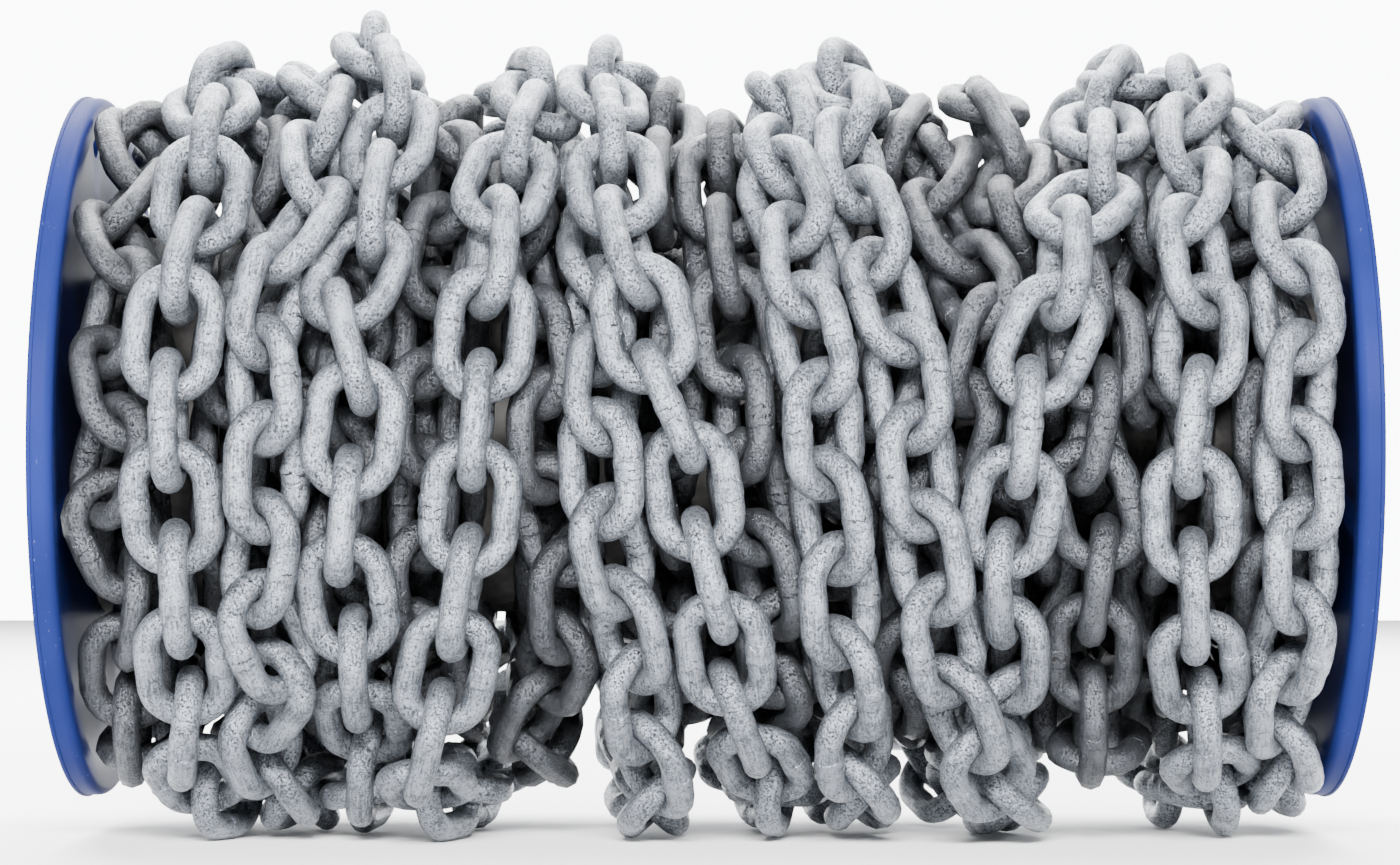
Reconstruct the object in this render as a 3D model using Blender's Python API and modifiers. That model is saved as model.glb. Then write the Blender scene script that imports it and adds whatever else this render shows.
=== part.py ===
"""A reel of galvanised short-link chain, lying on its outer turns.

The reel's axis is X and +Z is up. The origin is on the floor, below the middle of the reel.
Lengths are in metres.
"""

import math

import bpy
from mathutils import Matrix, Vector

# The chain: short-link chain of 10 mm wire
WIRE = 0.010
PITCH = 0.028
LINK_WIDTH = 0.035
CROWN_LAP = 0.0004  # each crown is this much nearer its link, so that a turn is one solid
RING_SIDES = 6
WIRE_SIDES = 4

# The reel
REEL_WIDTH = 0.461
FLANGE_DIAMETER = 0.260
SHEET = 0.002
LIP_WIDTH = 0.0085
PRESSED_STEP = 0.002
HEM_THICKNESS = 0.0034
HEM_WIDTH = 0.0016
RIM_HOLE_DIAMETER = 0.0115
RIM_HOLE_CIRCLE = 0.230
RIM_HOLE_ANGLES = (-16, 74, 164, 254)
SHAFT_HOLE_DIAMETER = 0.042
TUBE_DIAMETER = 0.0889
TUBE_WALL = 0.003

# How it lies
AXIS_HEIGHT = 0.1445
CLEARANCE = 0.0003

# The outer layer from left to right: middle of the turn along the reel, links in the turn, the angle
# of its lowest link to the reel's surface in degrees, and how far the turn humps up at the top
TURNS = (
    (-0.1760, 30, 90, 0.000),
    (-0.1442, 28, 45, 0.000),
    (-0.1120, 30, 90, 0.020),
    (-0.0762, 28, 90, 0.000),
    (-0.0344, 28, 45, 0.000),
    (-0.0026, 30, 90, 0.000),
    (0.0464, 28, 45, 0.000),
    (0.0746, 30, 45, 0.000),
    (0.1064, 28, 90, 0.000),
    (0.1650, 30, 90, 0.000),
    (0.1968, 28, 45, 0.000),
)
HUMP_SPREAD = 0.22  # radians

# Where the second layer stands up between the outer turns: from, to, and its radius
SECOND_LAYER_RIDGES = (
    (-0.2190, -0.1970, 0.120),
    (0.1295, 0.1455, 0.120),
)
CORE_END_RADIUS = 0.110
SEAT_GAP = 0.0004
PRESSED_DEPTH = 0.1091  # below the axis, where the outer turns press the inner ones flat
PRESSED_CORNER_DEPTH = 0.1122
PRESSED_CORNER_ANGLE = 19  # degrees

FLANGE_STEPS = 26
TUBE_STEPS = 20
CORE_STEPS = 20
HOLE_SIDES = 8
CUTTER_SIZE = 0.5

OBJECT_NAME = "chain_reel"
LEFT, RIGHT = -1, 1
AXIS = Vector((0, 0, AXIS_HEIGHT))


def clear_scene():
    for obj in list(bpy.data.objects):
        bpy.data.objects.remove(obj)


def new_collection(name):
    made = bpy.data.collections.new(name)
    bpy.context.scene.collection.children.link(made)
    return made


def new_material(name, colour, metallic, roughness):
    made = bpy.data.materials.new(name)
    made.use_nodes = True
    shader = made.node_tree.nodes["Principled BSDF"]
    shader.inputs["Base Color"].default_value = (*colour, 1)
    shader.inputs["Metallic"].default_value = metallic
    shader.inputs["Roughness"].default_value = roughness
    made.diffuse_color = (*colour, 1)
    return made


def new_object(name, mesh, collection, material):
    made = bpy.data.objects.new(name, mesh)
    collection.objects.link(made)
    if material:
        mesh.materials.append(material)
    return made


def as_cutter(obj):
    obj.hide_render = True
    obj.display_type = "WIRE"
    return obj


def cut_by(obj, cutter, operation="DIFFERENCE"):
    boolean = obj.modifiers.new(cutter.name, "BOOLEAN")
    boolean.operation = operation
    boolean.solver = "EXACT"
    boolean.object = cutter


def primitive_into(collection, name):
    """The object that the last primitive operator made, moved into a collection."""
    made = bpy.context.object
    for home in list(made.users_collection):
        home.objects.unlink(made)
    collection.objects.link(made)
    made.name = name
    return made


def cylinder_cutter(name, radius, length, place, sides, collection):
    """A cylinder along X, to cut with."""
    bpy.ops.mesh.primitive_cylinder_add(
        vertices=sides,
        radius=radius,
        depth=length,
        location=place,
        rotation=(0, math.radians(90), 0),
    )
    return as_cutter(primitive_into(collection, name))


def turned(name, profile, steps, collection, material):
    """A closed profile of (x, radius) points, turned about the reel's axis. It runs outwards on its
    right side and inwards on its left, so that the faces point out."""
    mesh = bpy.data.meshes.new(name)
    count = len(profile)
    edges = [(i, (i + 1) % count) for i in range(count)]
    mesh.from_pydata([(x, radius, 0) for x, radius in profile], edges, [])
    made = new_object(name, mesh, collection, material)
    made.location = AXIS
    screw = made.modifiers.new("Turn", "SCREW")
    screw.axis = "X"
    screw.steps = steps
    screw.render_steps = steps
    screw.use_merge_vertices = True
    screw.merge_threshold = 0.00005
    screw.use_smooth_shade = False
    return made


def arc(centre_x, centre_radius, size, first, last, points):
    """Points of an arc of a profile, between two angles in degrees from +X towards the rim."""
    found = []
    for i in range(points):
        angle = math.radians(first + (last - first) * i / (points - 1))
        found.append((centre_x + size * math.cos(angle), centre_radius + size * math.sin(angle)))
    return found


def flange_profile(side):
    """The pressed disc: flat face, a step towards the chain, a rounded corner, the lip and its hem."""
    rim = FLANGE_DIAMETER / 2
    lip_end = REEL_WIDTH / 2
    inner_end = lip_end - LIP_WIDTH
    face = inner_end + PRESSED_STEP
    corner = 0.0035
    step_radius = rim - 0.0100
    bore = SHAFT_HOLE_DIAMETER / 2
    chain_side = [
        (face, bore),
        (face, step_radius - 0.0040),
        (inner_end, step_radius),
        *arc(inner_end + corner, rim - corner, corner, 180, 90, 4),
        (lip_end - HEM_WIDTH, rim),
    ]
    hem = [
        (lip_end - HEM_WIDTH, rim + 0.0006),
        (lip_end, rim + 0.0006),
        (lip_end, rim + 0.0006 - HEM_THICKNESS),
        (lip_end - HEM_WIDTH, rim + 0.0006 - HEM_THICKNESS),
    ]
    outer_side = [
        (lip_end - HEM_WIDTH, rim - SHEET),
        (inner_end + corner, rim - SHEET),
        (inner_end + SHEET, rim - corner),
        (inner_end + SHEET, step_radius + 0.0010),
        (face + SHEET, step_radius - 0.0030),
        (face + SHEET, bore),
    ]
    points = chain_side + hem + outer_side
    return [(side * x, radius) for x, radius in points]


def make_flange(name, side, parts, cutters, material):
    profile = flange_profile(side)
    if side == RIGHT:
        profile.reverse()
    flange = turned(name, profile, FLANGE_STEPS, parts, material)
    reach = RIM_HOLE_CIRCLE / 2
    middle = side * (REEL_WIDTH / 2 - LIP_WIDTH)
    for number, degrees in enumerate(RIM_HOLE_ANGLES, 1):
        angle = math.radians(degrees)
        place = AXIS + Vector((middle, -reach * math.cos(angle), reach * math.sin(angle)))
        hole = cylinder_cutter(
            f"{name}_hole_{number}", RIM_HOLE_DIAMETER / 2, 4 * LIP_WIDTH, place, HOLE_SIDES, cutters
        )
        cut_by(flange, hole)
    return flange


def flange_face():
    """Distance of a flange's flat inner face from the middle of the reel."""
    return REEL_WIDTH / 2 - LIP_WIDTH + PRESSED_STEP


def make_tube(parts, material):
    end = flange_face() - CLEARANCE
    outer = TUBE_DIAMETER / 2
    inner = outer - TUBE_WALL
    profile = [(end, inner), (end, outer), (-end, outer), (-end, inner)]
    return turned("drum_tube", profile, TUBE_STEPS, parts, material)


def ring_bend():
    """Radius of the wire's middle line at the corners of the plain ring that a link is drawn from."""
    return (LINK_WIDTH - WIRE) / 2 / math.cos(math.pi / RING_SIDES)


def ring_stretch():
    """What brings the flat sides of the plain ring to a link's full width."""
    plain_width = 2 * (ring_bend() + WIRE / 2) * math.cos(math.pi / RING_SIDES)
    return LINK_WIDTH / plain_width


def link_half_depth(degrees):
    """How far a link at this angle to the reel's surface reaches from its middle, in or out."""
    rise = abs(math.sin(math.radians(degrees)))
    side_middle = (LINK_WIDTH - WIRE) / 2 * ring_stretch()
    side_top = side_middle * rise + WIRE / 2 * abs(math.cos(math.radians(degrees)))
    return max(LINK_WIDTH / 2 * rise, side_top)


def turn_depth(lay):
    """The same for a turn, whose links stand at two angles, a right angle apart."""
    return max(link_half_depth(lay), link_half_depth(lay + 90))


def path_point(theta, radius, hump, floor_gap):
    """A turn's middle line at an angle from straight down, pressed flat above the floor."""
    bulge = hump * math.exp(-(((theta - math.pi) / HUMP_SPREAD) ** 2))
    reach = radius + bulge
    y = reach * math.sin(theta)
    z = -reach * math.cos(theta)
    return Vector((0, y, max(z, floor_gap - AXIS_HEIGHT)))


def next_joint(start_theta, start, radius, hump, floor_gap):
    """The angle and place of the joint one pitch further round."""
    low, high = start_theta, start_theta + 0.5
    for _ in range(40):
        middle = (low + high) / 2
        if (path_point(middle, radius, hump, floor_gap) - start).length < PITCH:
            low = middle
        else:
            high = middle
    return low, path_point(low, radius, hump, floor_gap)


def half_turn_joints(radius, links, hump, floor_gap):
    """Joints from just past the bottom to just before the top."""
    depth = path_point(0, radius, hump, floor_gap).z
    joint = Vector((0, PITCH / 2, depth))
    theta = math.atan2(joint.y, -joint.z)
    joints = [joint]
    for _ in range(links // 2 - 1):
        theta, joint = next_joint(theta, joint, radius, hump, floor_gap)
        joints.append(joint)
    return joints


def turn_radius(links, lay, hump):
    """The radius at which this many links just close the turn."""
    low = PITCH * links / math.tau * 0.95
    high = low * 1.15
    for _ in range(50):
        radius = (low + high) / 2
        top = half_turn_joints(radius, links, hump, turn_depth(lay))[-1]
        past_the_top = top.y < PITCH / 2
        if past_the_top:
            low = radius
        else:
            high = radius
    return low


def turn_joints(links, lay, hump):
    """All joints of a turn, a pitch apart, the same on both sides of the reel."""
    radius = turn_radius(links, lay, hump)
    half = half_turn_joints(radius, links, hump, turn_depth(lay))
    mirrored = [Vector((0, -joint.y, joint.z)) for joint in reversed(half)]
    return half + mirrored


def link_mesh():
    """One link along X, its ring in the XY plane: a torus whose two ends are drawn apart."""
    bpy.ops.mesh.primitive_torus_add(
        major_segments=RING_SIDES,
        minor_segments=WIRE_SIDES,
        major_radius=ring_bend(),
        minor_radius=WIRE / 2,
    )
    ring = bpy.context.object
    mesh = ring.data
    bpy.data.objects.remove(ring)
    draw = (PITCH + WIRE) / 2 - CROWN_LAP - ring_bend()
    for vertex in mesh.vertices:
        vertex.co.x += math.copysign(draw, vertex.co.x)
        vertex.co.y *= ring_stretch()
    return mesh


def link_places(lane, joints, lay):
    """The matrix of each link of a turn."""
    places = []
    count = len(joints)
    sideways = Vector((1, 0, 0))
    for number in range(count):
        start = joints[number - 1]
        end = joints[number]
        along = (end - start).normalized()
        outward = sideways.cross(along)
        roll = math.radians(lay + 90 * (number % 2))
        across = math.cos(roll) * sideways + math.sin(roll) * outward
        through = along.cross(across)
        place = Matrix((along, across, through)).transposed().to_4x4()
        place.translation = AXIS + Vector((lane, 0, 0)) + (start + end) / 2
        places.append(place)
    return places


def joined_links(name, link, places, collection, material):
    """One object of many links that don't touch each other."""
    mesh = bpy.data.meshes.new(name)
    points, faces = [], []
    for place in places:
        first = len(points)
        points += [place @ vertex.co for vertex in link.vertices]
        faces += [[first + i for i in face.vertices] for face in link.polygons]
    mesh.from_pydata(points, [], faces)
    return new_object(name, mesh, collection, material)


def make_turn(number, link, parts, cutters, material):
    """Every other link is one mesh, the links between are another, and a Boolean joins them."""
    lane, links, lay, hump = TURNS[number - 1]
    places = link_places(lane, turn_joints(links, lay, hump), lay)
    name = f"chain_turn_{number:02d}"
    turn = joined_links(name, link, places[0::2], parts, material)
    between = joined_links(f"{name}_between", link, places[1::2], cutters, None)
    cut_by(turn, as_cutter(between), "UNION")
    return turn


def seat_of(turn):
    """The stretch and the radius of the inner layers that a turn lies on."""
    lane, links, lay, hump = turn
    mid_link_radius = math.sqrt(turn_radius(links, lay, hump) ** 2 - PITCH**2 / 4)
    radius = mid_link_radius - turn_depth(lay) - SEAT_GAP
    upright = lay % 90 == 0
    half = 0.006 if upright else 0.013
    return lane - half, lane + half, radius


def core_profile():
    """The tube's surface, then the seats of the outer turns and the ridges between them."""
    end = flange_face() - CLEARANCE
    bore = TUBE_DIAMETER / 2 + CLEARANCE
    stretches = sorted([seat_of(turn) for turn in TURNS] + list(SECOND_LAYER_RIDGES))
    outer = []
    for first, last, radius in reversed(stretches):
        outer += [(last, radius), (first, radius)]
    return [(end, bore), (end, CORE_END_RADIUS), *outer, (-end, CORE_END_RADIUS), (-end, bore)]


def press_plane(name, depth, degrees, cutters):
    """A block whose top lies this deep below the axis, tipped about X."""
    turn = Matrix.Rotation(math.radians(degrees), 3, "X")
    place = AXIS + turn @ Vector((0, 0, -depth - CUTTER_SIZE / 2))
    bpy.ops.mesh.primitive_cube_add(
        size=CUTTER_SIZE, location=place, rotation=(math.radians(degrees), 0, 0)
    )
    return as_cutter(primitive_into(cutters, name))


def make_core(parts, cutters, material):
    core = turned("chain_inner_layers", core_profile(), CORE_STEPS, parts, material)
    flats = (
        ("pressed_flat", PRESSED_DEPTH, 0),
        ("pressed_corner_front", PRESSED_CORNER_DEPTH, -PRESSED_CORNER_ANGLE),
        ("pressed_corner_back", PRESSED_CORNER_DEPTH, PRESSED_CORNER_ANGLE),
    )
    for name, depth, degrees in flats:
        cut_by(core, press_plane(name, depth, degrees, cutters))
    return core


def main():
    clear_scene()
    parts = new_collection(OBJECT_NAME)
    cutters = new_collection("cutters")
    cutters.hide_render = True
    blue_paint = new_material("blue_paint", (0.020, 0.110, 0.480), 0.0, 0.30)
    galvanised = new_material("galvanised_steel", (0.560, 0.570, 0.590), 1.0, 0.50)
    bare_steel = new_material("drum_steel", (0.300, 0.300, 0.310), 1.0, 0.55)
    make_flange("flange_left", LEFT, parts, cutters, blue_paint)
    make_flange("flange_right", RIGHT, parts, cutters, blue_paint)
    make_tube(parts, bare_steel)
    make_core(parts, cutters, galvanised)
    link = link_mesh()
    for number in range(1, len(TURNS) + 1):
        make_turn(number, link, parts, cutters, galvanised)
    bpy.data.meshes.remove(link)


main()
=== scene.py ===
"""A reel of galvanised short-link steel chain, wound between two blue pressed-steel flanges."""
import math

import bmesh
import bpy
import numpy as np
from bpy.props import FloatProperty, FloatVectorProperty, IntProperty, PointerProperty
from mathutils import Matrix, Vector


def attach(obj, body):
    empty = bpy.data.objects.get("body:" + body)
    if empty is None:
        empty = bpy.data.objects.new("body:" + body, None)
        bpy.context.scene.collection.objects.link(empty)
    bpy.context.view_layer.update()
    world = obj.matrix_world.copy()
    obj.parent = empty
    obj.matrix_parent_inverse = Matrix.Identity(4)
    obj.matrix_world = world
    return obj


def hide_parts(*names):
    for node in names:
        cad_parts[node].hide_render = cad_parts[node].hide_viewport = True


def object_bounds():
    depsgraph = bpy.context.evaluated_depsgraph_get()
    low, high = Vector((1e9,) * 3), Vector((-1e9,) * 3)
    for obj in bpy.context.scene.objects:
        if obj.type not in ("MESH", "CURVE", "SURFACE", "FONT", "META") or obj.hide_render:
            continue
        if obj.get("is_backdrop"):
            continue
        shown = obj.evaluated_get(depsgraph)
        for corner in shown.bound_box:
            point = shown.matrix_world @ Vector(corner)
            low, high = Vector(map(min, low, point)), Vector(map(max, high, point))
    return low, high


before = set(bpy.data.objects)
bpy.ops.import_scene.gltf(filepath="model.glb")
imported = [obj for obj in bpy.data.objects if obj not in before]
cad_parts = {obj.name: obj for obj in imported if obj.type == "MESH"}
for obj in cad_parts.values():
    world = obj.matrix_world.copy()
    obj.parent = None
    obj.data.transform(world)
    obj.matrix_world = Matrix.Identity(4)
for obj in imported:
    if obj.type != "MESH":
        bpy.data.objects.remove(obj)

bl_info = {
    "name": "Chain Reel",
    "version": (1, 0, 0),
    "blender": (4, 5, 0),
    "location": "View3D > Sidebar > Chain Reel",
    "description": "Makes a reel of galvanised short-link chain on the packed frame",
    "category": "Object",
}

CAD_LOW, CAD_HIGH = (tuple(corner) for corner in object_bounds())

# Where the reel lies: its axis runs along X, and the floor is at 0
AXIS_HEIGHT = 0.1445
REEL_WIDTH = CAD_HIGH[0] - CAD_LOW[0]
FLANGE_FACE = 0.224
FLANGE_STEP = 0.222

# The flanges' rim holes and what cuts them, and the near-black core between tube and chain, painted shadow of
# the deep chain
RIM_HOLE_REACH = 0.115
RIM_HOLE_ANGLES = (-16, 74, 164, 254)
CUTTER_LENGTH = 0.03
CUTTER_SIDES = 32
TUBE_RADIUS = 0.0445
TUBE_GAP = 0.0006
FACE_GAP = 0.0005
CORE_STEPS = 64

# Angle from which an edge of a turned piece is sharp
SHARP_EDGE = math.radians(35)

# The chain's links, and how far its turns reach from the reel's middle
WIRE = 0.010
PITCH = 0.030
LINK_WIDTH = 0.035
CHAIN_HALF_WIDTH = 0.2218
CHAIN_HALF_DEPTH = 0.1494
CHAIN_TOP = 0.1608
WELD_LIFT = 0.0005

# The room. The backdrop: where it is seen from the reel, and how far off that way it is fully lit and unlit
BEHIND = (0.0, 1.0, 0.0)
BACKDROP_LIT = math.radians(16)
BACKDROP_EDGE = math.radians(38)
BACKDROP_LIGHT = 11.0
ROOM_LIGHT = 0.10
ROOM_TINT = (0.96, 0.98, 1.0)
FLOOR_REACH = 6.0

# The soft boxes: place, point that it faces, size and power
REEL_POINT = (0.0, 0.0, AXIS_HEIGHT)
SOFT_BOXES = {
    "front_light": ((0.0, -2.4, 1.05), REEL_POINT, (1.2, 0.5), 430),
    "top_light": ((0.0, -0.3, 2.2), REEL_POINT, (1.6, 0.8), 30),
    "floor_light": ((0.0, 1.9, 2.6), (0.0, 1.8, 0.0), (4.0, 2.6), 900),
}

# The photograph's camera, in pixels of the whole photograph
PHOTO_WIDTH = 1400
PHOTO_MIDDLE = (700.0, 432.5)
REEL_MIDDLE = (705.6, 446.3)
FOCAL_PIXELS = 3612.0
CAMERA_DISTANCE = 1.3537
CAMERA_ELEVATION = -2.0
SENSOR_WIDTH = 36.0
CLIP_START = 0.05
CLIP_END = 50

# How a link lies: face-on, edge-on, or with its right or its left leg nearer the camera
LIES = {"F": 0.0, "E": 90.0, "R": 45.0, "L": 135.0}

# The outer turns from left to right. Each has its radius, its lane along the reel at the back, and the
# links that the photograph shows, from the top down: pixel across, pixel down, how the link lies, and
# its own radius in millimetres where it dips under another turn
OUTER_TURNS = {
    "chain_turn_01": (0.131, -0.1760, """
        224,92,E 209,114,F 213,142,E 200,198,F 190,262,E 172,335,F 170,420,E 170,505,F 181,590,E
        181,665,F 193,735,E 193,780,F 235,800,E
    """),
    "chain_turn_02": (0.128, -0.1442, """
        325,178,L 305,235,R 267,302,L 263,388,R 269,476,L 258,560,R 270,640,L 268,697,R 257,741,L
    """),
    "chain_turn_03": (0.131, -0.1120, """
        366,45,E,147 377,67,F,146 393,83,E,139 392,143,F 367,207,E 350,280,F 352,347,E 350,428,F
        348,515,E 343,598,F 362,672,E 358,718,F 378,768,E 356,800,F
    """),
    "chain_turn_04": (0.130, -0.0762, """
        540,100,F 530,130,E 510,188,F 498,253,E 485,333,F 477,420,E 470,510,F 457,596,E 450,675,F
        427,745,E 420,797,F
    """),
    "chain_turn_05": (0.127, -0.0344, """
        604,387,L,115 602,458,R,124 610,550,L 634,632,R 640,707,L 657,770,R 657,812,L
    """),
    "chain_turn_06": (0.131, -0.0026, """
        606,78,E 603,110,F 602,133,E 607,192,F 616,250,E 638,320,F 667,410,E 696,493,F 708,580,E
        728,655,F 747,722,E 757,772,F 785,800,E
    """),
    "chain_turn_07": (0.128, 0.0464, """
        775,165,L 785,202,R 797,265,L 810,340,R 822,430,L 831,515,R 839,600,L 838,682,R 852,750,L
        862,790,R
    """),
    "chain_turn_08": (0.130, 0.0746, """
        825,92,F 850,115,R 838,165,L 862,224,R 890,300,L 915,382,R 916,470,L 937,555,R 942,645,L
        970,725,R 983,790,L 1022,800,R
    """),
    "chain_turn_09": (0.130, 0.1064, """
        1130,88,F,137 1108,103,E,134 1100,140,F 1100,170,E 1087,217,F 1070,265,E 1058,345,F 1027,425,E
        1012,508,F 995,590,E,124 1005,658,R,115
    """),
    "chain_turn_10": (0.131, 0.1690, """
        1190,112,R,126 1180,155,L 1192,205,R 1187,265,L 1205,340,R 1187,423,E 1195,515,F 1187,600,E
        1205,670,F 1207,735,E 1210,766,F 1235,795,E
    """),
    "chain_turn_11": (0.127, 0.1968, """
        1247,155,L,113 1285,190,R,119 1278,242,L 1305,305,R 1295,398,L 1298,480,R 1300,570,L 1292,642,R
        1270,695,L 1280,737,R
    """),
}

# The turns of the layer below, seen between the outer ones
INNER_TURNS = {
    "inner_turn_01": (0.113, -0.2005, """
        138,158,L 130,210,R 116,250,L 122,318,R 112,388,L 115,465,R 115,535,L 138,615,E 118,665,F
        126,735,E
    """),
    "inner_turn_02": (0.110, -0.1650, "283,142,L 262,182,R 268,222,L"),
    "inner_turn_03": (0.115, -0.0945, """
        452,120,L 450,185,R 442,255,L 420,335,R 432,420,L 418,508,R 428,590,L 425,670,R
    """),
    "inner_turn_04": (0.113, -0.0710, """
        556,350,R 545,436,L 556,522,R 572,605,L 562,662,R 530,708,L 533,757,R
    """),
    "inner_turn_05": (0.112, -0.0100, "664,112,E 664,150,F 655,187,E 668,262,F"),
    "inner_turn_06": (0.120, 0.0180, """
        732,153,E 720,197,F 725,258,E 733,335,F 742,418,R 750,503,L 765,575,R 778,650,L
    """),
    "inner_turn_07": (0.104, 0.0480, "925,138,E 903,195,L 918,258,R 905,305,L"),
    "inner_turn_08": (0.115, 0.0760, "937,183,R 955,250,L 978,290,R 990,345,L"),
    "inner_turn_09": (0.122, 0.1050, """
        965,100,F 1006,142,E 1019,197,F 1037,242,E,115 1045,300,F,109
    """),
    "inner_turn_10": (0.120, 0.1340, """
        1092,275,E 1090,350,F 1088,430,E 1094,500,F,124 1097,578,E,127 1087,655,F,127 1088,730,E,127
    """),
    "inner_turn_11": (0.106, 0.1660, "1143,215,L 1133,290,R 1135,365,E"),
    "inner_turn_12": (0.108, 0.1980, "1236,205,R 1240,280,L"),
}

# Stretches that pass under another turn, as angle from the front (up is positive), lane and radius
HIDDEN_STRETCHES = {
    "chain_turn_05": ((-3.3, -0.0344, 0.130), (-4.3, -0.0430, 0.110), (-5.4, -0.0460, 0.100)),
    "chain_turn_07": ((-2.2, 0.0464, 0.130), (-4.1, 0.0440, 0.128), (-4.8, 0.0360, 0.120)),
    "chain_turn_09": ((-1.0, 0.0980, 0.108), (-1.8, 0.1000, 0.108), (-2.6, 0.1064, 0.126)),
    "chain_turn_11": (
        (-1.4, 0.2060, 0.120), (-2.1, 0.2040, 0.122), (-2.8, 0.1968, 0.128), (-4.4, 0.1980, 0.116)
    ),
}

# Radii of the unseen stretches, of the layers further in, and of the core
BACK_RADIUS = 0.1315
INNER_RADIUS = 0.101
DEEP_RADIUS = 0.076
DEEP_TURNS = 12
DEEP_FIRST = -0.205
DEEP_STEP = 0.0372
CORE_RADIUS = 0.062
SIDLE = 0.7
PLAIN_INNER_LANES = (-0.130,)

# Settling: how the links find their places without passing through each other
ROUNDS = 260
START_SUNK = 0.016
RISING_SHARE = 0.3
LOOSE_FROM = 0.6
LOOSE_AT_END = 0.02
CLEAR_GAP = 0.0016
RAY_PULL = 0.30
FRONT_RADIUS_PULL = 0.03
BACK_RADIUS_PULL = 0.12
BEADS = 16
NEAR_LINKS = 0.054
LOOK_EVERY = 8
SLACK = 0.94
ROLL_RETURN = 0.08
ROLL_STEP = 0.6
CONTACT_STEP = 1.6
QUARTER_SLACK = 20.0
QUARTER_STEP = 0.15
LENGTH_PASSES = 4
ALL_PITCH = 0.98
WAY_STEPS = 60
STEP_SHARES = (0.85, 1.02)
LENGTH_STEP = 0.45
NO_DISTANCE = 1e-6
HALF_TURN = 180
QUARTER_TURN = 90

# Small differences between turns: how far they sway, their waves, how a plain turn lies, and the
# degrees of twist that weigh as much as a link too many
TRACED_SWAY = (0.001, 0.004)
SWAY_WAVES = 5
PLAIN_SWAY = (0.001, 0.003)
PLAIN_WAVES = 3
PLAIN_LAY = (20, 70)
TWIST_WEIGHT = 60
CHAIN_SEED = 11

# Noises of the materials and shapes: how many to a metre, detail, roughness and distortion
ZINC_PATCHES = (110.0, 4.0, 0.6)
ZINC_GRAIN = (1150.0, 4.0, 0.7)
ZINC_FINE = (3000.0, 2.0, 0.6)
ZINC_STREAKS = (1300.0, 3.0, 0.6)
ZINC_SMEARS = (60.0, 3.0, 0.7, 0.6)
WELD_WANDER = (420.0, 2.0)
WELD_LUMPS = (330.0, 2.0)
WIRE_DENTS = (85.0, 2.0)
CRACK_BREAKS = (240.0, 2.0)
PAINT_WAVES = (22.0, 2.0, 0.5)
PAINT_CLOUDS = (9.0, 3.0, 0.6)
PAINT_STREAKS = (900.0, 2.0, 0.7)
PAINT_PATCHES = (55.0, 3.0, 0.6)
PAINT_SPECKS = (700.0, 2.0)
STEEL_DRAWN = (420.0, 3.0)
STEEL_FILM = (45.0, 4.0, 0.6)
CORE_CLUMPS = (60.0, 3.0)
FLOOR_GRAIN = (30.0, 3.0)

# How noises are stretched, along a link's wire, down a flange and along the tube
ALONG_WIRE = (0.10, 1.0, 1.0)
DOWN_FLANGE = (1.0, 1.0, 0.12)
ALONG_TUBE = (0.08, 1.0, 1.0)

# Finishes: grime with its share and roughness (the inner links' larger share is partly painted shade), the
# painted shade that darkens inner zinc, and each layer's lightness: random, and darker for the inner and deep
# layers as painted shade
OUTER_GRIME = ((0.022, 0.022, 0.023), 0.14, 0.36)
INNER_GRIME_AND_SHADE = ((0.022, 0.019, 0.017), 0.30, 0.34)
INNER_SHADE_ON_CLEAN = (0.40, 0.392, 0.388)
INNER_SHADE_ON_DULL = (0.55, 0.54, 0.52)
OUTER_TONES = (0.90, 1.05)
# The inner and deep layers' tones are darker: painted shade
INNER_SHADED_TONES = (0.70, 0.95)
DEEP_SHADED_TONES = (0.45, 0.65)
ZINC_METALLIC = 0.85
STEEL_METALLIC = 0.8
PAINT_IOR = 1.06

# The settled links, filled in by laid_chain
LAID = {}


# Sizes and colours that a user may change


def length(name, description, default):
    return FloatProperty(name=name, description=description, default=default, unit="LENGTH")


def number_of(name, description, default, least=4):
    return IntProperty(name=name, description=description, default=default, min=least)


def tint(name, description, default):
    return FloatVectorProperty(name=name, description=description, default=default, size=3, subtype="COLOR")


class ChainSizes(bpy.types.PropertyGroup):
    """Sizes of the chain's links."""

    wire: length("Wire", "Thickness of the links' round wire", WIRE)
    pitch: length("Pitch", "Inner length of a link", PITCH)
    width: length("Width", "Outer width of a link", LINK_WIDTH)
    weld_swell: FloatProperty(
        name="Weld swell", description="How much thicker the wire is at the weld", default=0.05,
        subtype="FACTOR",
    )
    weld_lumps: length("Weld lumps", "Height of the lumps round a weld", 0.0022)
    dents: length("Dents", "How uneven the wire is all over", 0.0009)
    outer_rings: number_of("Outer rings", "Rings round an outer link", 48, 8)
    outer_sides: number_of("Outer sides", "Sides of an outer link's wire", 14)
    inner_rings: number_of("Inner rings", "Rings round an inner link", 24, 8)
    inner_sides: number_of("Inner sides", "Sides of an inner link's wire", 9)
    deep_rings: number_of("Deep rings", "Rings round a link of the deepest layer", 16, 8)
    deep_sides: number_of("Deep sides", "Sides of a deepest link's wire", 7)


class FlangeSizes(bpy.types.PropertyGroup):
    """Sizes of the two pressed flanges."""

    diameter: length("Diameter", "Diameter of a flange over its rim", 0.260)
    sheet: length("Sheet", "Thickness of the pressed sheet", 0.002)
    hem_width: length("Hem width", "Width of the folded hem", 0.0016)
    shaft_hole: length("Shaft hole", "Diameter of the hole in the middle", 0.042)
    rim_hole: length("Rim hole", "Diameter of the small holes near the rim", 0.0115)
    steps: number_of("Steps", "Steps round a flange", 180, 24)


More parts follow.
